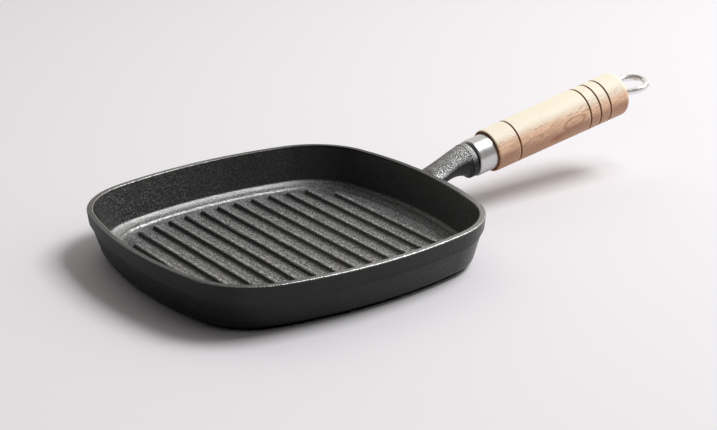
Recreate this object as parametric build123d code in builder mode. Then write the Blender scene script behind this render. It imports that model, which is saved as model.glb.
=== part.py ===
"""Square cast-iron grill pan with a turned wooden handle, a metal ferrule and a wire hanging loop.

Millimetres. The pan stands on z = 0 with its centre over the origin. +X points along the handle,
Y runs along the ribs and +Z is up.
"""

import os
from math import atan2, cos, degrees, hypot, radians, sin, sqrt, tan

from build123d import *

os.makedirs("parts", exist_ok=True)

# Pan outline, seen from above: four bowed sides joined by four corner arcs
pan_width = 240.0
side_radius = 301.3
corner_radius = 57.8

# Wall, from the rim down
rim_height = 34.5
rim_width = 4.2
rim_edge_radius = 0.8
collar_height = 8.8
collar_draft = 1.0
collar_edge_radius = 2.4
undercut_drop = 4.7
undercut_depth = 2.4
undercut_radius = 3.0
wall_taper = 6.0
foot_radius = 9.25
inner_taper = 7.8
inner_foot_radius = 3.4

# Floor
floor_thickness = 7.2
ledge_rise = 1.2
ledge_width = 9.0
step_run = 1.0
step_radius = 0.5
floor_margin = 2.0

# Ribs, along Y
rib_count = 13
rib_height = 2.8
rib_crest_width = 3.6
rib_foot_width = 4.9
rib_crest_radius = 1.9
rib_foot_radius = 1.3
rib_end_margin = 30.5
rib_side_margin = 7.0
rib_sink = 1.5

# Handle axis: it leaves the rim's outer edge and climbs away from the pan
handle_tilt = 9.38
handle_drop = 5.1

# Stub, cast with the pan
stub_length = 39.0
stub_collar_length = 5.5
stub_collar_radius = 12.8
stub_edge_radius = 0.8
stub_fillet_radius = 2.5
stub_bite = 3.6
root_half_width = 12.5
root_half_height = 6.3
root_sag = 1.6
waist_station = 15.0
waist_half_width = 11.0
waist_half_height = 7.6
waist_lift = 0.7
neck_half_width = 12.4
neck_half_height = 12.0
neck_lift = 0.5

# Ferrule
ferrule_length = 15.8
ferrule_radius = 13.65
ferrule_wall = 1.2
ferrule_lip_radius = 1.5

# Wooden handle
wood_length = 126.2
wood_front_radius = 15.9
wood_rear_radius = 16.8
wood_front_edge = 1.0
wood_rear_edge = 4.0
groove_radius = 0.7
front_groove_inset = 19.8
rear_groove_inset = 19.8
rear_groove_pitch = 9.7
rear_groove_count = 3
recess_radius = 9.6
recess_depth = 13.0
recess_edge = 0.8

# Tie rod, washer and loop
rod_diameter = 6.0
rod_thread_length = 14.0
rod_tip_chamfer = 0.6
head_radius = 7.0
head_length = 6.4
head_chamfer = 0.6
washer_radius = 9.0
washer_thickness = 1.5
loop_wire = 5.6
loop_radius = 11.5
loop_reach = 21.2
loop_lift = 1.4
loop_turn = 5.0
loop_leg_spread = 3.1

# Clearances, on the radius
thread_clearance = 0.05
bore_clearance = 0.5
spigot_clearance = 0.05
thread_runout = 2.0
cut_overrun = 1.0


# Pan outline
half_width = pan_width / 2
side_centre = side_radius - half_width
corner_centre = (sqrt(2 * (side_radius - corner_radius) ** 2 - side_centre**2) - side_centre) / 2
tangent_angle = atan2(corner_centre, corner_centre + side_centre)


def draw_outline(inset):
    """Add the pan's outline, moved in by inset, to the current line block, starting on the +X side."""
    side, corner = side_radius - inset, corner_radius - inset
    sweep_side, sweep_corner = degrees(2 * tangent_angle), 90 - degrees(2 * tangent_angle)
    for quarter in range(4):
        turn = 90.0 * quarter
        along = Vector(1, 0).rotate(Axis.Z, turn)
        diagonal = Vector(1, 1).rotate(Axis.Z, turn)
        CenterArc(along * -side_centre, side, turn - sweep_side / 2, sweep_side)
        CenterArc(diagonal * corner_centre, corner, turn + sweep_side / 2, sweep_corner)


def outline_reach(x, inset):
    """Half the outline's length along Y at x, with the outline moved in by inset."""
    side, corner, x = side_radius - inset, corner_radius - inset, abs(x)
    if x < side * sin(tangent_angle):
        return sqrt(side**2 - x**2) - side_centre
    if x < corner_centre + corner * cos(tangent_angle):
        return corner_centre + sqrt(corner**2 - (x - corner_centre) ** 2)
    return sqrt(side**2 - (x + side_centre) ** 2)


# Handle frame: stations run along the axis from the rim's outer edge
handle_origin = Vector(half_width, 0, rim_height - handle_drop)
handle_direction = Vector(cos(radians(handle_tilt)), 0, sin(radians(handle_tilt)))
handle_axis = Axis(handle_origin, handle_direction)
handle_side = Plane(origin=handle_origin, x_dir=handle_direction, z_dir=(0, -1, 0))


def across_handle(station):
    """Plane across the handle axis, with its own Y pointing up."""
    return Plane(origin=handle_origin + handle_direction * station, x_dir=(0, 1, 0), z_dir=handle_direction)


ferrule_end = stub_length + ferrule_length
wood_end = ferrule_end + wood_length
recess_floor = wood_end - recess_depth
head_seat = recess_floor + washer_thickness
head_face = head_seat + head_length
rod_radius = rod_diameter / 2
socket_radius = rod_radius + thread_clearance
bore_radius = rod_radius + bore_clearance
rod_tip = stub_length - rod_thread_length

# Pan heights and insets
floor_top = floor_thickness
ledge_top = floor_top + ledge_rise
collar_base = rim_height - collar_height
undercut_base = collar_base - undercut_drop
undercut_inset = collar_draft + undercut_depth
foot_inset = undercut_inset + wall_taper
wall_foot_inset = rim_width + inner_taper
ledge_inset = wall_foot_inset + ledge_width
floor_inset = ledge_inset + step_run

# Ribs
with BuildPart() as ribs:
    rib_top = floor_top + rib_height
    outer_rib = half_width - rib_end_margin - rib_side_margin
    rib_pitch = 2 * outer_rib / (rib_count - 1)
    for index in range(rib_count):
        rib_x = index * rib_pitch - outer_rib
        straight = outline_reach(rib_x, rib_end_margin) - rib_crest_width / 2
        foot_edge = rib_foot_width / 2 + 2 * rib_foot_radius
        half_section = [
            (0, floor_top - rib_sink),
            (foot_edge, floor_top - rib_sink),
            (foot_edge, floor_top),
            (rib_foot_width / 2, floor_top),
            (rib_crest_width / 2, rib_top),
            (0, rib_top),
        ]
        half_radii = [0, 0, rib_foot_radius, rib_crest_radius]
        rib_end = Plane(origin=(rib_x, straight, 0), x_dir=(1, 0, 0), z_dir=(0, -1, 0))
        with BuildSketch(rib_end) as rib_section:
            with BuildLine():
                flank = FilletPolyline(*half_section, radius=half_radii)
                Line(flank @ 1, flank @ 0)
            make_face()
        revolve(axis=Axis(rib_end.origin, (0, 0, 1)), revolution_arc=180)
        with BuildSketch(rib_end):
            add(rib_section.sketch_local)
            mirror(about=Plane.YZ)
        extrude(amount=straight)
    mirror(about=Plane.XZ)

# Stub: a lofted neck that ends in a round collar
with BuildPart() as stub:
    root_plane = Plane(
        origin=handle_origin - Vector(stub_bite, 0, stub_bite * tan(radians(handle_tilt))),
        x_dir=(0, 1, 0),
        z_dir=(1, 0, 0),
    )
    neck_station = stub_length - stub_collar_length
    with BuildSketch(root_plane):
        with Locations((0, -root_sag)):
            Ellipse(root_half_width, root_half_height)
    with BuildSketch(across_handle(0)):
        with Locations((0, -root_sag)):
            Ellipse(root_half_width, root_half_height)
    with BuildSketch(across_handle(waist_station)):
        with Locations((0, waist_lift)):
            Ellipse(waist_half_width, waist_half_height)
    with BuildSketch(across_handle(neck_station)):
        with Locations((0, neck_lift)):
            Ellipse(neck_half_width, neck_half_height)
    loft()
    with BuildSketch(across_handle(neck_station)):
        Circle(stub_collar_radius)
    extrude(amount=stub_collar_length)
    fillet(stub.edges().filter_by(GeomType.CIRCLE).sort_by(handle_axis)[-1], stub_edge_radius)

# Pan body
with BuildPart() as pan_body:
    with BuildLine() as rim_path:
        draw_outline(0)
    with BuildSketch(Plane.XZ):
        with BuildLine():
            wall_points = [
                (half_width - floor_inset - floor_margin, 0),
                (half_width - foot_inset, 0),
                (half_width - undercut_inset, undercut_base),
                (half_width - collar_draft, collar_base),
                (half_width, rim_height),
                (half_width - rim_width, rim_height),
                (half_width - wall_foot_inset, ledge_top),
                (half_width - ledge_inset, ledge_top),
                (half_width - floor_inset, floor_top),
                (half_width - floor_inset - floor_margin, floor_top),
            ]
            wall_radii = [
                foot_radius,
                undercut_radius,
                collar_edge_radius,
                rim_edge_radius,
                rim_edge_radius,
                inner_foot_radius,
                step_radius,
                step_radius,
            ]
            wall_line = FilletPolyline(*wall_points, radius=wall_radii)
            Line(wall_line @ 1, wall_line @ 0)
        make_face()
    sweep(path=rim_path.wires()[0])
    add(stub.part)
    root_reach = half_width + stub_fillet_radius
    root_edges = pan_body.edges(Select.NEW).filter_by_position(Axis.X, corner_centre, root_reach)
    fillet(root_edges, stub_fillet_radius)
    with BuildSketch():
        with BuildLine():
            draw_outline(floor_inset + floor_margin / 2)
        make_face()
    extrude(amount=floor_thickness)
    add(ribs.part)
    with BuildSketch(across_handle(stub_length)):
        Circle(socket_radius)
    extrude(amount=-(rod_thread_length + thread_runout), mode=Mode.SUBTRACT)

# Ferrule
with BuildPart() as ferrule:
    with BuildSketch(across_handle(stub_length)):
        Circle(ferrule_radius)
    extrude(amount=ferrule_length)
    fillet(ferrule.edges().sort_by(handle_axis)[0], ferrule_lip_radius)
    with BuildSketch(across_handle(stub_length + ferrule_wall)):
        Circle(ferrule_radius - ferrule_wall)
    extrude(amount=ferrule_length, mode=Mode.SUBTRACT)
    with BuildSketch(across_handle(stub_length)):
        Circle(bore_radius)
    extrude(amount=ferrule_wall + cut_overrun, mode=Mode.SUBTRACT)

# Wooden handle
with BuildPart() as wood_handle:
    spigot_radius = ferrule_radius - ferrule_wall - spigot_clearance
    wood_points = [
        (stub_length + ferrule_wall, bore_radius),
        (stub_length + ferrule_wall, spigot_radius),
        (ferrule_end, spigot_radius),
        (ferrule_end, wood_front_radius),
        (wood_end, wood_rear_radius),
        (wood_end, recess_radius),
        (recess_floor, recess_radius),
        (recess_floor, bore_radius),
    ]
    wood_radii = [0, 0, wood_front_edge, wood_rear_edge, recess_edge, 0]
    with BuildSketch(handle_side):
        with BuildLine():
            wood_line = FilletPolyline(*wood_points, radius=wood_radii)
            Line(wood_line @ 1, wood_line @ 0)
        make_face()
    revolve(axis=handle_axis)
    groove_stations = [ferrule_end + front_groove_inset]
    for index in range(rear_groove_count):
        groove_stations.append(wood_end - rear_groove_inset - index * rear_groove_pitch)
    wood_growth = (wood_rear_radius - wood_front_radius) / wood_length
    for station in groove_stations:
        surface_radius = wood_front_radius + wood_growth * (station - ferrule_end)
        with BuildSketch(handle_side):
            with Locations((station, surface_radius)):
                Circle(groove_radius)
        revolve(axis=handle_axis, mode=Mode.SUBTRACT)

# Tie rod
with BuildPart() as tie_rod:
    with BuildSketch(across_handle(rod_tip)):
        Circle(rod_radius)
    extrude(amount=head_seat - rod_tip)
    chamfer(tie_rod.edges().sort_by(handle_axis)[0], rod_tip_chamfer)
    with BuildSketch(across_handle(head_seat)):
        Circle(head_radius)
    extrude(amount=head_length)
    chamfer(tie_rod.edges().sort_by(handle_axis)[-1], head_chamfer)

# Washer under the rod's head
with BuildPart() as end_washer:
    with BuildSketch(across_handle(recess_floor)):
        Circle(washer_radius)
        Circle(bore_radius, mode=Mode.SUBTRACT)
    extrude(amount=washer_thickness)

# Hanging loop: a ring whose two legs run tangentially down to the rod's head
with BuildPart() as hanging_loop:
    level_up = Vector(0, 0, 1).rotate(Axis.Y, -handle_tilt)
    loop_up = level_up.rotate(Axis((0, 0, 0), handle_direction), loop_turn)
    loop_origin = handle_origin + handle_direction * (head_face + loop_reach) + loop_up * loop_lift
    loop_plane = Plane(origin=loop_origin, x_dir=handle_direction, z_dir=loop_up)
    leg_run = hypot(loop_reach, loop_leg_spread)
    leg_length = sqrt(leg_run**2 - loop_radius**2)
    tangent_turn = degrees(atan2(leg_length, loop_radius) + atan2(loop_leg_spread, loop_reach))
    with BuildLine(loop_plane) as loop_path:
        ring = CenterArc((0, 0), loop_radius, tangent_turn - 180, 360 - 2 * tangent_turn)
        Line(ring @ 0 - ring % 0 * (leg_length + loop_wire), ring @ 0)
        Line(ring @ 1, ring @ 1 + ring % 1 * (leg_length + loop_wire))
    with BuildSketch(Plane(origin=ring @ 0, z_dir=ring % 0)):
        Circle(loop_wire / 2)
    sweep(path=loop_path.wires()[0])
    split(bisect_by=across_handle(head_face), keep=Keep.TOP)

pan_body.part.label = "pan_body"
export_step(pan_body.part, "parts/pan_body.step")

ferrule.part.label = "ferrule"
export_step(ferrule.part, "parts/ferrule.step")

wood_handle.part.label = "wood_handle"
export_step(wood_handle.part, "parts/wood_handle.step")

tie_rod.part.label = "tie_rod"
export_step(tie_rod.part, "parts/tie_rod.step")

end_washer.part.label = "end_washer"
export_step(end_washer.part, "parts/end_washer.step")

hanging_loop.part.label = "hanging_loop"
export_step(hanging_loop.part, "parts/hanging_loop.step")
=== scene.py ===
"""Looks for the grill pan: black pebbled iron, beech grip with burned grooves, polished ferrule and loop.

Metres, in the frame of the CAD model: the pan stands on z = 0 and its handle points along +X.
Near is -Y, far is +Y, left is -X and right is +X.
"""

import bpy
import math
from collections import namedtuple
from functools import reduce
from mathutils import Matrix, Vector
from types import SimpleNamespace

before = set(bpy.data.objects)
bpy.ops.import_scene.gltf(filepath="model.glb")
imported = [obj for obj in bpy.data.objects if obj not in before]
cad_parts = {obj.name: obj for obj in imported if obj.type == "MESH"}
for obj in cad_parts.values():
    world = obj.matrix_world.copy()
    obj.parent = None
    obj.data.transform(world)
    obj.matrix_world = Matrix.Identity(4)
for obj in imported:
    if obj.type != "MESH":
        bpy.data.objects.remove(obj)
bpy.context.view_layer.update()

# Camera, solved from the photograph's outlines. Angles in degrees, places in metres, sensor in millimetres
PHOTO_WIDTH = 717
FOCAL_PIXELS = 1771.16
SENSOR_WIDTH = 36.0
CAMERA_AZIMUTH = -34.06
CAMERA_ELEVATION = 20.82
CAMERA_ROLL = -1.31
CAMERA_DISTANCE = 1.19641
CAMERA_RIGHT = 0.05021
CAMERA_UP = -0.00486

# Pan
RIM_HEIGHT = 0.0345
OUTLINE_REACH = 0.120
OUTLINE_POWER = 3.2
RIB_PITCH = 0.01375

# Handle frame: the axis leaves the rim at HANDLE_ROOT and climbs by HANDLE_TILT. Stations run along it
HANDLE_ROOT = Vector((OUTLINE_REACH, 0.0, 0.0294))
HANDLE_TILT = math.radians(9.38)
STUB_END = 0.039
WOOD_START = 0.0548
GROOVE_STATIONS = (0.0746, 0.1418, 0.1515, 0.1612)

# A ramp is (from, to) or (from, to, value at from, value at to), and a noise is (scale, detail, roughness)
NOISE_MIDDLE = (0.3, 0.7)
NOISE_MEAN = 0.5

# Zones of the iron, as ramps of a height, a place, or a part of the outward normal
PAN_END = (0.124, 0.120)
PAN_UPWARD = (0.35, 0.9)
STUB_UPWARD = (0.1, 0.55)
RIM_TOP = (RIM_HEIGHT - 0.0012, RIM_HEIGHT - 0.0006)
# Places of painted highlights on the rim's edges, the ledge's fillets and step, and its bright strip
EDGE_RISE = (RIM_HEIGHT - 0.0026, RIM_HEIGHT - 0.0018)
LEDGE_START = (0.0955, 0.0975)
LEDGE_TOP = (0.0135, 0.0115)
BEYOND_STEP = (0.101, 0.102)
NOT_STEEP = (0.3, 0.6)
NOT_FLAT = (0.995, 0.95)
FACING_CENTRE = (0.1, -0.1)
CENTRE_LEAN_SHARE = 0.6
LEANING_NEAR = (0.1, 0.4)
GLOW_START = (0.1024, 0.1044)
GLOW_FLAT = (0.9, 0.99)
GLOW_SIDE = (0.0, 0.05)
BAND_FADE = (0.045, 0.09, 1.0, 0.35)
INWARD = (0.1, -0.3)
# Painted glints where the key light falls on the far inner wall
GLINT_FACE = (-0.3, -0.9)
GLINT_PLACE = (0.05, -0.08, 0.2, 1.0)
FAR_RIGHT_FACE = (0.1, 0.5)
# Painted sheen on the fillet at the foot of the right inner wall
RIGHT_FOOT = (-0.1, -0.4)
LEFT_FACE = (-0.4, -0.8)
OUTWARD_FACE = (0.3, 0.8)
OUTER_WALL = (0.2, 0.4)
# Painted highlights on the stub's root and crest, and painted shade at the pan's foot, in the ferrule's gap
# and on the stub's far side
ROOT_FACE = (-0.25, -0.5)
ROOT_PLACE = (0.134, 0.127)
CONTACT_RISE = (0.0056, 0.0034)
CONTACT_FACE = (-0.8, -0.3)
GAP_PLACE = (STUB_END - 0.0016, STUB_END - 0.0010)
CREST_PLACE = STUB_END - 0.0022
CREST_WIDTH = (0.0006, 0.0003)
CREST_FACE = (0.1, -0.2)
SHADE_PLACE = (0.002, 0.0095)
SHADE_SHARE = 0.85

# Zones among the ribs, with painted fill light on their flanks, painted shade at their feet and painted
# highlights on their crests
AMONG_RIBS = (OUTLINE_REACH + 0.001, OUTLINE_REACH - 0.001)
RIB_END_MARGIN = 0.0290
RIB_SIDES = (0.0895, 0.0875)
RIB_FLANKS = (0.0955, 0.0925)
RIB_FOOT_SHADE = (0.0036, 0.0064, 0.60, 1.30)
RIB_CREST_RISE = (0.0093, 0.0099)
RIB_CREST_HIGHLIGHT = 1.8

# Grain of the iron
PEBBLE_NOISE = (900.0, 2.0, 0.6)
PEBBLE_CELLS = 1150.0
PEBBLE_CELL_SHARE = -0.7
SLOW_NOISE = (45.0, 2.0, 0.5)
SALT_NOISE = (1150.0, 1.0, 0.5)
DOT_NOISE = (1500.0, 1.0, 0.5)

# Tones of the iron in linear grey, and gains on them. Past the grain and the specks, these are painted light
BASE_TONE = (*NOISE_MIDDLE, 0.0048, 0.0078)
# What faces up is painted much lighter than the walls, as sheen
FLOOR_SALT = (0.36, 0.72, 0.0325, 0.377)
STUB_DOTS = (*NOISE_MIDDLE, 0.075, 0.51)
# Painted shade on the stub's far side, painted light on the ledge's far left side, and painted fill light on
# the rib flanks
STUB_FAR_SHADE = (-0.004, 0.0085, 1.25, 0.1)
LEDGE_SIDE_LIGHT = (-0.5, 0.5, 0.55, 1.7)
RIB_FLANK_FILL = 0.045
SPECKS = (0.5, 0.72, 0.0, 0.14)
SPECKS_ELSEWHERE = 0.15
# Painted fill light lifts the right inner wall over the grey of the inner walls
INNER_WALL_TONE_AND_FILL = (-0.3, -0.8, 0.020, 0.042)
# Painted light and shade on the rim top
RIM_NEAR = (0.3, 1.0, 0.045, 0.245)
RIM_FAR = (0.6, 0.95, 0.0, 0.08)
RIM_FAR_RIGHT = (0.6, 0.95, 1.0, 0.15)
RIM_ACROSS_SHARE = 0.45
RIM_ALONG_SHARE = -0.9
CORNER_SHARE = 0.7
# Painted highlights on edges, step, fillets and the ledge's strip, and painted sheen at the right wall's foot
EDGE_HIGHLIGHT_TONE = 0.5
EDGE_FAR_SIDE = (0.05, 0.08)
EDGE_FAR_HIGHLIGHT = (-0.07, 0.07, 0.30, 0.10)
STEP_HIGHLIGHT_TONE = 0.35
FOOT_HIGHLIGHT_TONE = 0.36
BAND_HIGHLIGHT_TONE = (*BEYOND_STEP, STEP_HIGHLIGHT_TONE, FOOT_HIGHLIGHT_TONE)
LEDGE_HIGHLIGHT_TONE = 0.64
RIGHT_FOOT_SHEEN = 0.05

# Shares of bare metal, roughness and specular level of the iron
TOP_METAL = 0.5
RIM_METAL = 0.8
HIGHLIGHT_METAL = 0.9
IRON_ROUGHNESS = (*NOISE_MIDDLE, 0.25, 0.35)
LEFT_FACE_ROUGHNESS = 0.25
SOFT_BAND_ROUGHNESS = 0.15
FAR_RIGHT_ROUGHNESS = 0.3
FOOT_ROUGHNESS = (0.0010, 0.0050, 0.3, 0.0)
IRON_SPECULAR = 0.33

# Relief of the iron, in metres. The undercut and the foot roll under, so that they don't mirror the floor
PEBBLE_DEPTH = 0.0007
SLOW_DEPTH = 0.0003
UNDERCUT_ROLL = (0.0205, 0.0262, 0.0022, 0.0)
FOOT_ROLL = (0.0, 0.0050, 0.0070, 0.0)
SMOOTH_EDGES = 0.6
SMOOTH_WALLS = 0.7
SMOOTH_BANDS = 0.3

# Wood colours. The cream on top is painted highlight and the brown below is painted shade, over the tan wood
WOOD_CREAM_HIGHLIGHT = (0.99, 0.90, 0.73, 1.0)
WOOD_TAN = (0.97, 0.63, 0.42, 1.0)
WOOD_BROWN_SHADE = (0.50, 0.285, 0.175, 1.0)
WOOD_HEART = (0.36, 0.17, 0.10, 1.0)
WOOD_KNOT = (0.36, 0.13, 0.06, 1.0)
WOOD_BURNED = (0.36, 0.165, 0.075, 1.0)
WOOD_LIP_HIGHLIGHT = (0.97, 0.88, 0.74, 1.0)

# Grain of the wood: it climbs along the handle, and each noise is stretched along it by its own share
GRAIN_SLANT = 0.10
BROAD_STRETCH = 0.12
BROAD_NOISE = (110.0, 3.0, 0.55)
FINE_STRETCH = 0.05
FINE_NOISE = (1500.0, 3.0, 0.6)
FLECK_STRETCH = 0.22
FLECK_NOISE = (1700.0, 1.0, 0.5)
WANDER = 0.012
# Heights of the painted highlight on top and the painted shade below
TAN_TO_HIGHLIGHT = (0.0035, 0.0125)
SHADE_TO_TAN = (-0.0050, 0.0050)
HEART_STREAKS = (0.45, 0.62)
HEART_RISE = (0.002, -0.003, 0.0, 0.35)
# Marks fade under the painted highlight on top
BELOW_TOP = (0.0125, 0.006, 0.12, 1.0)
RING_COUNT = 9.0
RING_LINE = (0.0, 0.14, 0.40, 0.0)
FINE_LINES = (0.50, 0.70, 0.0, 0.50)
FLECK_MARKS = (0.58, 0.68, 0.0, 0.5)
WOOD_ROUGHNESS = (*NOISE_MIDDLE, 0.45, 0.58)
WOOD_SPECULAR = 0.4
WOOD_DEPTH = 0.00006
FLECK_DEPTH_SHARE = 0.5

# Figures in the wood, on the near side: ovals with an outline and an inside of their own strength
Figure = namedtuple("Figure", "station rise half_length half_height outline inside colour")
WOOD_FIGURES = (
    Figure(0.1255, 0.0013, 0.0098, 0.0029, 0.60, 0.12, WOOD_HEART),
    Figure(0.0860, 0.0004, 0.0086, 0.0017, 0.50, 0.12, WOOD_HEART),
    Figure(0.1225, -0.0034, 0.0170, 0.0022, 0.0, 0.62, WOOD_HEART),
    Figure(0.0650, -0.0020, 0.0120, 0.0016, 0.0, 0.40, WOOD_HEART),
    Figure(0.1083, -0.0060, 0.0052, 0.0023, 0.80, 0.95, WOOD_KNOT),
)
FIGURE_SIDE = (0.0, -0.004)
FIGURE_WANDER = 2.0
FIGURE_LINE = (0.03, 0.30)
FIGURE_BODY = (0.4, 1.1)

# Burned grooves and front ring, and a painted highlight as a pale lip in front of each groove
GROOVE_BAND = (0.0005, 0.0010, 1.0, 0.0)
FRONT_DEPTH = (WOOD_START + 0.0006, WOOD_START + 0.0003)
FRONT_RING = (0.0153, 0.0148)
LIP_INSET = 0.0013
LIP_BAND = (0.0001, 0.0004, 1.0, 0.0)
LIP_RISE = (0.008, 0.0, 0.0, 0.35)
BURNED_ROUGHNESS = 0.9

# Polished metals
MARK_STRETCH = 60.0
TURNED_NOISE = (60.0, 3.0, 0.6)
WIRE_NOISE = (300.0, 3.0, 0.6)
MARK_SHADE = 0.94
MARK_SMOOTH = 0.8
MARK_ROUGH = 1.3
MARK_DEPTH = 0.00001

# Floor
FLOOR_HALF = 6.0
FLOOR_COLOUR = (0.80, 0.787, 0.822, 1.0)
FLOOR_ROUGHNESS = 0.8
FLOOR_SPECULAR = 0.1

# Key light. A bearing is a side of the object: 0 is towards the camera, 90 the camera's right
KEY_BEARING = 108
KEY_ELEVATION = 54
KEY_DISTANCE = 2.4
KEY_WIDTH = 1.20
KEY_HEIGHT = 1.04
KEY_WATTS = 47.5
KEY_AIM = Vector((0.0, 0.0, 0.02))

# Studio walls, placed in degrees, each with its level as light and its level in reflections
FULL_TURN = 360.0
Wall = namedtuple("Wall", "bearing half_width low high fill shine")
WALLS = (
    Wall(180, 55, -20, 25, 0.95, 0.95),
    Wall(180, 55, 25, 62, 0.92, 0.85),
    Wall(90, 35, -20, 50, 0.95, 0.26),
    Wall(0, 200, 62, 120, 0.29, 0.13),
    Wall(250, 30, -20, 18, 0.0, 0.5),
    Wall(250, 45, 20, 62, 0.10, 0.0),
    Wall(10, 80, -20, 45, 0.0, 0.15),
)
WALL_COLOUR = (1.0, 0.968, 0.915, 1.0)
WALL_SIDE_BLUR = 12
WALL_EDGE_BLUR = 8


# Node helpers
class Tree:
    """The node tree of a material or world, with short calls for nodes and links."""

    def __init__(self, owner, shader):
        owner.use_nodes = True
        self.owner = owner
        self.nodes = owner.node_tree.nodes
        self.links = owner.node_tree.links
        self.shader = self.nodes[shader]
        place = self.add("ShaderNodeTexCoord")
        self.position = place.outputs["Object"]
        self.normal = place.outputs["Normal"]
        self.direction = place.outputs["Generated"]

    def add(self, kind, **settings):
        node = self.nodes.new(kind)
        for key, value in settings.items():
            setattr(node, key, value)
        return node

    def put(self, value, socket):
        if isinstance(value, bpy.types.NodeSocket):
            self.links.new(value, socket)
        else:
            socket.default_value = value

    def set(self, **inputs):
        """Set inputs of the shader, with underscores for the spaces in their names."""
        for name, value in inputs.items():
            self.put(value, self.shader.inputs[name.replace("_", " ")])

    def math(self, operation, a, b=0.0, c=0.0):
        node = self.add("ShaderNodeMath", operation=operation)
        for value, socket in zip((a, b, c), node.inputs):
            self.put(value, socket)
        return node.outputs[0]

    def times(self, *values):
        return reduce(lambda a, b: self.math("MULTIPLY", a, b), values)

    def plus(self, *values):
        return reduce(lambda a, b: self.math("ADD", a, b), values)

    def largest(self, *values):
        return reduce(lambda a, b: self.math("MAXIMUM", a, b), values)

    def minus(self, a, b):
        return self.math("SUBTRACT", a, b)

    def divide(self, a, b):
        return self.math("DIVIDE", a, b)

    def without(self, value):
        """What is left of 1."""
        return self.minus(1.0, value)

    def absolute(self, value):
        return self.math("ABSOLUTE", value)

    def distance(self, value, centre):
        """Distance from centre."""
        return self.absolute(self.minus(value, centre))

    def length(self, a, b):
        return self.math("SQRT", self.plus(self.times(a, a), self.times(b, b)))

    def repeat(self, value, period):
        """Place within a period, from minus half of it to half of it."""
        return self.math("WRAP", value, period / 2, -period / 2)

    def ramp(self, value, low, high, to_low=0.0, to_high=1.0):
        """Smooth ramp from to_low at low to to_high at high."""
        node = self.add("ShaderNodeMapRange", interpolation_type="SMOOTHSTEP")
        self.put(value, node.inputs["Value"])
        for name, number in (("From Min", low), ("From Max", high), ("To Min", to_low), ("To Max", to_high)):
            node.inputs[name].default_value = number
        return node.outputs["Result"]

    def pick(self, factor, a, b):
        """Number a where factor is 0 and b where it is 1."""
        return self.blend("FLOAT", factor, a, b)

    def mix(self, factor, a, b):
        """Colour a where factor is 0 and b where it is 1."""
        return self.blend("RGBA", factor, a, b)

    def blend(self, kind, factor, a, b):
        node = self.add("ShaderNodeMix", data_type=kind)
        self.put(factor, node.inputs["Factor"])
        self.put(a, node.inputs["A"])
        self.put(b, node.inputs["B"])
        return node.outputs["Result"]

    def noise(self, vector, scale, detail, roughness):
        node = self.add("ShaderNodeTexNoise")
        self.put(vector, node.inputs["Vector"])
        node.inputs["Scale"].default_value = scale
        node.inputs["Detail"].default_value = detail
        node.inputs["Roughness"].default_value = roughness
        return node.outputs["Fac"]

    def cells(self, vector, scale):
        node = self.add("ShaderNodeTexVoronoi", feature="SMOOTH_F1")
        self.put(vector, node.inputs["Vector"])
        node.inputs["Scale"].default_value = scale
        return node.outputs["Distance"]

    def bump(self, height, distance, normal=None):
        node = self.add("ShaderNodeBump")
        node.inputs["Strength"].default_value = 1.0
        node.inputs["Distance"].default_value = distance
        self.put(height, node.inputs["Height"])
        if normal is not None:
            self.put(normal, node.inputs["Normal"])
        return node.outputs["Normal"]

    def split(self, vector):
        node = self.add("ShaderNodeSeparateXYZ")
        self.put(vector, node.inputs[0])
        return node.outputs

    def join(self, x, y, z):
        node = self.add("ShaderNodeCombineXYZ")
        for value, socket in zip((x, y, z), node.inputs):
            self.put(value, socket)
        return node.outputs[0]

    def bowed(self, x, y):
        """Half size of the bowed square that runs through (x, y), which follows the pan's outline."""
        powers = (self.math("POWER", self.absolute(value), OUTLINE_POWER) for value in (x, y))
        return self.math("POWER", self.plus(*powers), 1 / OUTLINE_POWER)

    def along_handle(self):
        """Position in the handle's frame: X is the station, Y across, Z up."""
        node = self.add("ShaderNodeMapping", vector_type="TEXTURE")
        node.inputs["Location"].default_value = HANDLE_ROOT
        node.inputs["Rotation"].default_value = (0.0, -HANDLE_TILT, 0.0)
        self.put(self.position, node.inputs["Vector"])
        return node.outputs["Vector"]


def material_tree(name):
    return Tree(bpy.data.materials.new(name), "Principled BSDF")


def grey(level):
    return (level, level, level, 1.0)


# Iron
def iron_zones(t):
    """Masks over the casting, from the place and the outward normal."""
    zone = SimpleNamespace()
    zone.x, zone.y, zone.z = t.split(t.position)
    zone.face_x, zone.face_y, zone.face_z = t.split(t.normal)
    zone.station, zone.across, _ = t.split(t.along_handle())
    zone.reach = t.length(zone.x, zone.y)
    zone.outward = t.divide(t.plus(t.times(zone.face_x, zone.x), t.times(zone.face_y, zone.y)), zone.reach)
    zone.square = t.bowed(zone.x, zone.y)
    zone.pan = t.ramp(zone.x, *PAN_END)
    zone.top = t.pick(zone.pan, t.ramp(zone.face_z, *STUB_UPWARD), t.ramp(zone.face_z, *PAN_UPWARD))
    zone.wall = t.times(t.without(zone.top), zone.pan)
    zone.rim = t.times(t.ramp(zone.z, *RIM_TOP), zone.pan)
    zone.far_right_edge = t.times(zone.rim, t.ramp(t.plus(zone.face_x, zone.face_y), *FAR_RIGHT_FACE))
    zone.ledge = t.times(t.ramp(zone.square, *LEDGE_START), t.ramp(zone.z, *LEDGE_TOP))
    return zone


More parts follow.
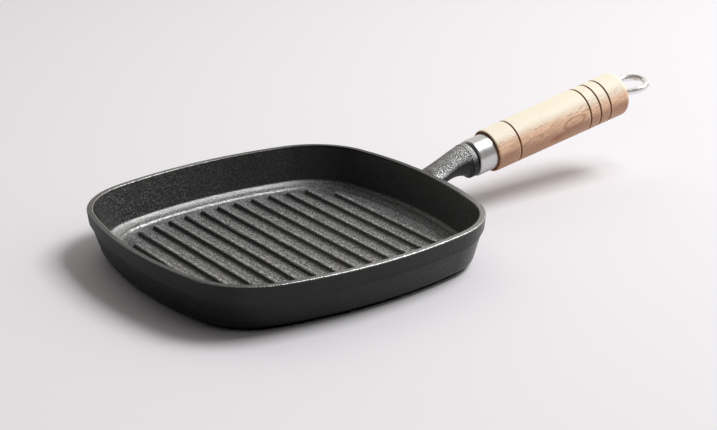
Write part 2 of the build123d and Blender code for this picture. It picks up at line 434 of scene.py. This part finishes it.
def add_highlight_zones(t, zone):
    """Masks of painted highlights on edges and fillets where they face the near side, on the ledge's bright
    strip, and on the stub's root and crest.
    """
    not_steep = t.ramp(zone.face_z, *NOT_STEEP)
    zone.tilted = t.times(not_steep, t.ramp(zone.face_z, *NOT_FLAT))
    # A face leans to the near side by -Y, or by a share of +X where it faces the centre
    leaning = t.times(zone.face_x, CENTRE_LEAN_SHARE, t.ramp(zone.outward, *FACING_CENTRE))
    leaning = t.minus(leaning, zone.face_y)
    turned = t.times(zone.tilted, t.ramp(leaning, *LEANING_NEAR), zone.pan)
    zone.edge = t.times(turned, t.ramp(zone.z, *EDGE_RISE))
    zone.band = t.times(turned, zone.ledge)
    zone.fade = t.ramp(zone.x, *BAND_FADE)
    far_side = t.ramp(t.minus(zone.y, zone.x), *GLOW_SIDE)
    flat = t.ramp(zone.face_z, *GLOW_FLAT)
    zone.glow = t.times(t.ramp(zone.square, *GLOW_START), zone.ledge, flat, zone.fade, far_side)
    root = t.times(t.ramp(zone.face_y, *ROOT_FACE), not_steep)
    zone.root = t.times(root, t.ramp(zone.x, *ROOT_PLACE), t.without(zone.pan))
    crest = t.ramp(t.distance(zone.station, CREST_PLACE), *CREST_WIDTH)
    zone.crest = t.times(crest, t.ramp(zone.face_y, *CREST_FACE), not_steep)


def painted_shade_zone(t, zone):
    """Mask of painted shade, made to mirror nothing: the ferrule's gap, the stub's far side, the foot but for
    the left.
    """
    gap = t.ramp(zone.station, *GAP_PLACE)
    shade = t.times(t.ramp(zone.across, *SHADE_PLACE), t.minus(SHADE_SHARE, zone.pan))
    contact = t.times(t.ramp(zone.z, *CONTACT_RISE), t.ramp(zone.face_x, *CONTACT_FACE))
    return t.largest(gap, shade, contact)


def rib_shade_and_highlight(t, zone):
    """Painted light between the ribs: the floor is greyest half way, with painted shade at their feet and a
    painted highlight on the crests.
    """
    among = t.bowed(zone.x, t.plus(t.absolute(zone.y), RIB_END_MARGIN))
    among = t.times(t.ramp(among, *AMONG_RIBS), t.ramp(t.absolute(zone.x), *RIB_SIDES))
    gain = t.ramp(t.absolute(t.repeat(zone.x, RIB_PITCH)), *RIB_FOOT_SHADE)
    gain = t.pick(t.ramp(zone.z, *RIB_CREST_RISE), gain, RIB_CREST_HIGHLIGHT)
    return t.pick(among, 1.0, gain)


def rim_light_and_shade(t, zone, across, along):
    """Painted light and shade on the rim: brightest on the near side, middling on the far side, and dark at
    the far right corner.
    """
    near = t.plus(t.times(across, RIM_ACROSS_SHARE), t.times(along, RIM_ALONG_SHARE))
    far_right = t.times(t.plus(across, along), CORNER_SHARE)
    tone = t.plus(t.ramp(near, *RIM_NEAR), t.ramp(along, *RIM_FAR))
    return t.times(tone, t.ramp(far_right, *RIM_FAR_RIGHT))


def top_tone(t, zone, salt, across, along):
    """Pebbled greys of what faces up: the floor and ledge of the pan, and the stub. Facing up makes them
    painted lighter than the walls, as sheen, with painted shade on the stub's far side and painted light on
    the ledge's far left side.
    """
    stub = t.ramp(t.noise(t.position, *DOT_NOISE), *STUB_DOTS)
    stub = t.times(stub, t.ramp(zone.across, *STUB_FAR_SHADE))
    floor = t.times(t.ramp(salt, *FLOOR_SALT), rib_shade_and_highlight(t, zone))
    ledge_light = t.pick(zone.ledge, 1.0, t.ramp(t.minus(along, across), *LEDGE_SIDE_LIGHT))
    return t.times(zone.top, t.pick(zone.pan, stub, floor), ledge_light)


def inner_wall_tone(t, zone, salt):
    """Specks on the inner walls, with painted glints most at the left of the far one, over a grey that painted
    fill light makes lighter on the right one.
    """
    inward = t.times(zone.wall, t.ramp(zone.outward, *INWARD))
    painted_glints = t.times(t.ramp(zone.face_y, *GLINT_FACE), t.ramp(zone.x, *GLINT_PLACE))
    specks = t.times(t.ramp(salt, *SPECKS), t.plus(SPECKS_ELSEWHERE, painted_glints))
    return t.times(t.plus(specks, t.ramp(zone.face_x, *INNER_WALL_TONE_AND_FILL)), inward)


def iron_tone(t, zone, slow):
    """Grey of the casting: grains first, then painted light: fill on the rib flanks, sheen on the tops, light
    and shade on the rim, and highlights on edges, step, fillets, the ledge's strip and the stub's root and
    crest.
    """
    across = t.divide(zone.x, zone.reach)
    along = t.divide(zone.y, zone.reach)
    salt = t.noise(t.position, *SALT_NOISE)
    base = t.ramp(slow, *BASE_TONE)
    # Painted fill light on the rib flanks
    flanks = t.times(zone.wall, t.ramp(zone.square, *RIB_FLANKS), RIB_FLANK_FILL)
    tone = t.plus(base, flanks, top_tone(t, zone, salt, across, along), inner_wall_tone(t, zone, salt))
    # Painted highlights on the fillets, the step and the ledge's strip, fading out to the right
    tone = t.pick(zone.band, tone, t.times(t.ramp(zone.square, *BAND_HIGHLIGHT_TONE), zone.fade))
    tone = t.pick(zone.glow, tone, LEDGE_HIGHLIGHT_TONE)
    # Painted light and shade on the rim, and painted highlights on its edges
    edge = t.pick(t.ramp(zone.y, *EDGE_FAR_SIDE), EDGE_HIGHLIGHT_TONE, t.ramp(zone.x, *EDGE_FAR_HIGHLIGHT))
    tone = t.pick(zone.edge, t.pick(zone.rim, tone, rim_light_and_shade(t, zone, across, along)), edge)
    # Painted sheen on the fillet at the foot of the right inner wall
    right_foot_sheen = t.times(zone.tilted, t.ramp(zone.face_x, *RIGHT_FOOT), zone.ledge)
    tone = t.plus(tone, t.times(right_foot_sheen, RIGHT_FOOT_SHEEN))
    # Painted highlights at the stub's root and crest
    return t.pick(zone.crest, t.pick(zone.root, tone, STEP_HIGHLIGHT_TONE), EDGE_HIGHLIGHT_TONE)


def iron_metal(t, zone):
    """Tops, the rim and the painted highlights on edges and fillets are part bare metal, but the rim's far
    right edge isn't.
    """
    highlights = t.times(t.largest(zone.band, zone.edge, zone.root, zone.glow), HIGHLIGHT_METAL)
    metal = t.largest(t.times(zone.top, TOP_METAL), t.times(zone.rim, RIM_METAL), highlights)
    return t.times(metal, t.without(zone.far_right_edge))


def iron_roughness(t, zone, pebble):
    """Rougher on the outer left wall, the inner fillets, the rim's far right edge and next to the floor."""
    left_face = t.times(t.ramp(zone.face_x, *LEFT_FACE), t.ramp(zone.outward, *OUTWARD_FACE))
    soft_band = t.times(zone.band, t.ramp(zone.square, *BEYOND_STEP))
    return t.plus(
        t.ramp(pebble, *IRON_ROUGHNESS),
        t.times(left_face, LEFT_FACE_ROUGHNESS),
        t.times(soft_band, SOFT_BAND_ROUGHNESS),
        t.times(zone.far_right_edge, FAR_RIGHT_ROUGHNESS),
        t.ramp(zone.z, *FOOT_ROUGHNESS),
    )


def iron_relief(t, zone, pebble, slow):
    """Pebbles over slow waves over the rolls. Walls, rim and the edges and fillets with painted highlights are
    smoother.
    """
    outer_wall = t.times(t.ramp(zone.outward, *OUTER_WALL), zone.pan)
    under = t.plus(t.times(t.ramp(zone.z, *UNDERCUT_ROLL), outer_wall), t.ramp(zone.z, *FOOT_ROLL))
    rolling = t.bump(slow, SLOW_DEPTH, t.bump(under, 1.0))
    skin = t.plus(pebble, t.times(t.cells(t.position, PEBBLE_CELLS), PEBBLE_CELL_SHARE))
    smooth = t.largest(
        t.times(zone.wall, SMOOTH_WALLS),
        t.times(t.largest(zone.rim, zone.edge, zone.root), SMOOTH_EDGES),
        t.times(zone.band, SMOOTH_BANDS),
    )
    return t.bump(t.times(skin, t.without(smooth)), PEBBLE_DEPTH, rolling)


def iron():
    """Black seasoned casting: dark smoother walls, pebbled tops painted greyer as sheen, bright painted
    highlights on edges and fillets, and painted shade at the foot.
    """
    t = material_tree("black_iron")
    zone = iron_zones(t)
    add_highlight_zones(t, zone)
    # Painted shade: the tone goes black and, as bare metal, mirrors nothing
    black = painted_shade_zone(t, zone)
    pebble = t.noise(t.position, *PEBBLE_NOISE)
    slow = t.noise(t.position, *SLOW_NOISE)
    tone = t.times(iron_tone(t, zone, slow), t.without(black))
    t.set(
        Base_Color=t.join(tone, tone, tone),
        Metallic=t.largest(iron_metal(t, zone), black),
        Roughness=iron_roughness(t, zone, pebble),
        Specular_IOR_Level=IRON_SPECULAR,
        Normal=iron_relief(t, zone, pebble, slow),
    )
    return t.owner


# Metals
def polished(name, level, roughness, turned=True, metallic=1.0):
    """Bright metal with faint turning marks around the axis, or plain for bent wire."""
    t = material_tree(name)
    place = t.along_handle()
    if turned:
        station, across, height = t.split(place)
        marks = t.noise(t.join(t.times(station, MARK_STRETCH), across, height), *TURNED_NOISE)
    else:
        marks = t.noise(place, *WIRE_NOISE)
    t.set(
        Base_Color=t.mix(t.ramp(marks, *NOISE_MIDDLE), grey(level * MARK_SHADE), grey(level)),
        Metallic=metallic,
        Roughness=t.ramp(marks, *NOISE_MIDDLE, roughness * MARK_SMOOTH, roughness * MARK_ROUGH),
        Normal=t.bump(marks, MARK_DEPTH),
    )
    return t.owner


# Wood
def add_grain(t, wood):
    """Painted highlight in cream above, tan in the middle and painted shade in brown below, with heartwood
    streaks, ring lines, fine lines and flecks.
    """
    level = t.plus(wood.height, t.times(wood.wander, WANDER))
    colour = t.mix(t.ramp(level, *TAN_TO_HIGHLIGHT), WOOD_TAN, WOOD_CREAM_HIGHLIGHT)
    colour = t.mix(t.ramp(level, *SHADE_TO_TAN), WOOD_BROWN_SHADE, colour)
    streaks = t.times(t.ramp(wood.broad, *HEART_STREAKS), t.ramp(wood.height, *HEART_RISE))
    colour = t.mix(streaks, colour, WOOD_HEART)
    rings = t.absolute(t.repeat(t.times(wood.broad, RING_COUNT), 1.0))
    below_top = t.ramp(wood.height, *BELOW_TOP)
    ring_lines = t.ramp(rings, *RING_LINE)
    fine_lines = t.ramp(wood.fine, *FINE_LINES)
    flecks = t.ramp(wood.fleck, *FLECK_MARKS)
    for marks in (ring_lines, fine_lines, flecks):
        colour = t.mix(t.times(marks, below_top), colour, WOOD_HEART)
    return colour


def add_figures(t, wood, colour):
    """Ovals that follow the grain's climb and wander with it."""
    near_side = t.ramp(wood.across, *FIGURE_SIDE)
    for figure in WOOD_FIGURES:
        along = t.minus(wood.station, figure.station)
        climb = t.minus(t.minus(wood.height, figure.rise), t.times(along, GRAIN_SLANT))
        climb = t.plus(t.divide(climb, figure.half_height), t.times(wood.wander, FIGURE_WANDER))
        ring = t.length(t.divide(along, figure.half_length), climb)
        line = t.ramp(t.distance(ring, 1.0), *FIGURE_LINE, figure.outline, 0.0)
        body = t.ramp(ring, *FIGURE_BODY, figure.inside, 0.0)
        colour = t.mix(t.times(t.largest(line, body), near_side), colour, figure.colour)
    return colour


def burned_zone(t, wood):
    """Mask of the grooves and of the ring of the front face next to the ferrule."""
    ring = t.ramp(t.length(wood.across, wood.height), *FRONT_RING)
    burned = t.times(t.ramp(wood.station, *FRONT_DEPTH), ring)
    for groove in GROOVE_STATIONS:
        burned = t.largest(burned, t.ramp(t.distance(wood.station, groove), *GROOVE_BAND))
    return burned


def add_lip_highlights(t, wood, colour):
    """Painted highlight as a pale line in front of each groove, fading out towards the top."""
    lip_highlights = 0.0
    for groove in GROOVE_STATIONS:
        lip_highlights = t.largest(lip_highlights, t.ramp(t.distance(wood.station, groove - LIP_INSET), *LIP_BAND))
    return t.mix(t.times(lip_highlights, t.ramp(wood.height, *LIP_RISE)), colour, WOOD_LIP_HIGHLIGHT)


def beech():
    """Pale turned beech with ring lines, a few oval figures, a knot and burned grooves."""
    t = material_tree("beech")
    wood = SimpleNamespace()
    wood.station, wood.across, wood.height = t.split(t.along_handle())
    slanted = t.minus(wood.height, t.times(wood.station, GRAIN_SLANT))

    def stretched(stretch, noise):
        return t.noise(t.join(t.times(wood.station, stretch), wood.across, slanted), *noise)

    wood.broad = stretched(BROAD_STRETCH, BROAD_NOISE)
    wood.fine = stretched(FINE_STRETCH, FINE_NOISE)
    wood.fleck = stretched(FLECK_STRETCH, FLECK_NOISE)
    wood.wander = t.minus(wood.broad, NOISE_MEAN)
    colour = add_lip_highlights(t, wood, add_figures(t, wood, add_grain(t, wood)))
    burned = burned_zone(t, wood)
    # Burned wood counts as metal, so that its reflection is brown too
    t.set(
        Base_Color=t.mix(burned, colour, WOOD_BURNED),
        Metallic=burned,
        Roughness=t.pick(burned, t.ramp(wood.fine, *WOOD_ROUGHNESS), BURNED_ROUGHNESS),
        Specular_IOR_Level=WOOD_SPECULAR,
        Normal=t.bump(t.minus(wood.fine, t.times(wood.fleck, FLECK_DEPTH_SHARE)), WOOD_DEPTH),
    )
    return t.owner


# Dressing
def dress(node, material):
    """Give a CAD node its material."""
    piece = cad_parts[node]
    piece.data.materials.clear()
    piece.data.materials.append(material)


dress("pan_body", iron())
dress("ferrule", polished("ferrule_metal", level=0.62, roughness=0.32))
dress("wood_handle", beech())
dress("tie_rod", polished("rod_metal", level=0.55, roughness=0.3))
dress("end_washer", polished("washer_metal", level=0.6, roughness=0.3))
dress("hanging_loop", polished("loop_metal", level=0.95, roughness=0.22, turned=False, metallic=0.6))


# Floor
def make_floor():
    corners = [(x * FLOOR_HALF, y * FLOOR_HALF, 0) for x, y in ((-1, -1), (1, -1), (1, 1), (-1, 1))]
    mesh = bpy.data.meshes.new("floor")
    mesh.from_pydata(corners, [], [(0, 1, 2, 3)])
    floor = bpy.data.objects.new("floor", mesh)
    bpy.context.scene.collection.objects.link(floor)
    t = material_tree("floor_paper")
    t.set(Base_Color=FLOOR_COLOUR, Roughness=FLOOR_ROUGHNESS, Specular_IOR_Level=FLOOR_SPECULAR)
    mesh.materials.append(t.owner)


make_floor()


# Camera
def direction(azimuth, elevation):
    """Unit vector towards a place seen at azimuth and elevation, in radians. Azimuth 0 is along -Y."""
    level = math.cos(elevation)
    return Vector((math.sin(azimuth) * level, -math.cos(azimuth) * level, math.sin(elevation)))


def camera_axes():
    """The camera's right, up and back directions, in the frame of the CAD model."""
    azimuth, elevation, roll = (math.radians(v) for v in (CAMERA_AZIMUTH, CAMERA_ELEVATION, CAMERA_ROLL))
    back = direction(azimuth, elevation)
    level = Vector((math.cos(azimuth), math.sin(azimuth), 0.0))
    upright = back.cross(level)
    right = level * math.cos(roll) + upright * math.sin(roll)
    up = upright * math.cos(roll) - level * math.sin(roll)
    return right, up, back


def make_camera():
    right, up, back = camera_axes()
    place = right * CAMERA_RIGHT + up * CAMERA_UP + back * CAMERA_DISTANCE + Vector((0, 0, RIM_HEIGHT))
    data = bpy.data.cameras.new("camera")
    data.sensor_width = SENSOR_WIDTH
    data.lens = FOCAL_PIXELS / PHOTO_WIDTH * SENSOR_WIDTH
    camera = bpy.data.objects.new("camera", data)
    camera.matrix_world = Matrix((
        (right.x, up.x, back.x, place.x),
        (right.y, up.y, back.y, place.y),
        (right.z, up.z, back.z, place.z),
        (0, 0, 0, 1),
    ))
    bpy.context.scene.collection.objects.link(camera)
    bpy.context.scene.camera = camera


make_camera()


# Light
def make_key():
    back = direction(math.radians(CAMERA_AZIMUTH + KEY_BEARING), math.radians(KEY_ELEVATION))
    data = bpy.data.lights.new("key", "AREA")
    data.shape = "RECTANGLE"
    data.size = KEY_WIDTH
    data.size_y = KEY_HEIGHT
    data.energy = KEY_WATTS
    lamp = bpy.data.objects.new("key", data)
    lamp.location = KEY_AIM + back * KEY_DISTANCE
    lamp.rotation_mode = "QUATERNION"
    lamp.rotation_quaternion = back.to_track_quat("Z", "Y")
    bpy.context.scene.collection.objects.link(lamp)


def make_world():
    """Sum of the studio walls, each a soft-edged patch of sky."""
    t = Tree(bpy.data.worlds.new("studio"), "Background")
    x, y, z = t.split(t.direction)
    elevation = t.math("DEGREES", t.math("ARCSINE", z))
    azimuth = t.math("DEGREES", t.math("ARCTAN2", x, t.times(y, -1.0)))
    glossy = t.add("ShaderNodeLightPath").outputs["Is Glossy Ray"]
    patches = []
    for wall in WALLS:
        turn = t.absolute(t.repeat(t.minus(azimuth, CAMERA_AZIMUTH + wall.bearing), FULL_TURN))
        side = t.ramp(turn, wall.half_width + WALL_SIDE_BLUR, wall.half_width - WALL_SIDE_BLUR)
        above = t.ramp(elevation, wall.low - WALL_EDGE_BLUR, wall.low + WALL_EDGE_BLUR)
        below = t.ramp(elevation, wall.high + WALL_EDGE_BLUR, wall.high - WALL_EDGE_BLUR)
        patches.append(t.times(side, above, below, t.pick(glossy, wall.fill, wall.shine)))
    t.set(Strength=t.plus(*patches), Color=WALL_COLOUR)
    bpy.context.scene.world = t.owner


make_key()
make_world()
bpy.context.scene.view_settings.view_transform = "Standard"
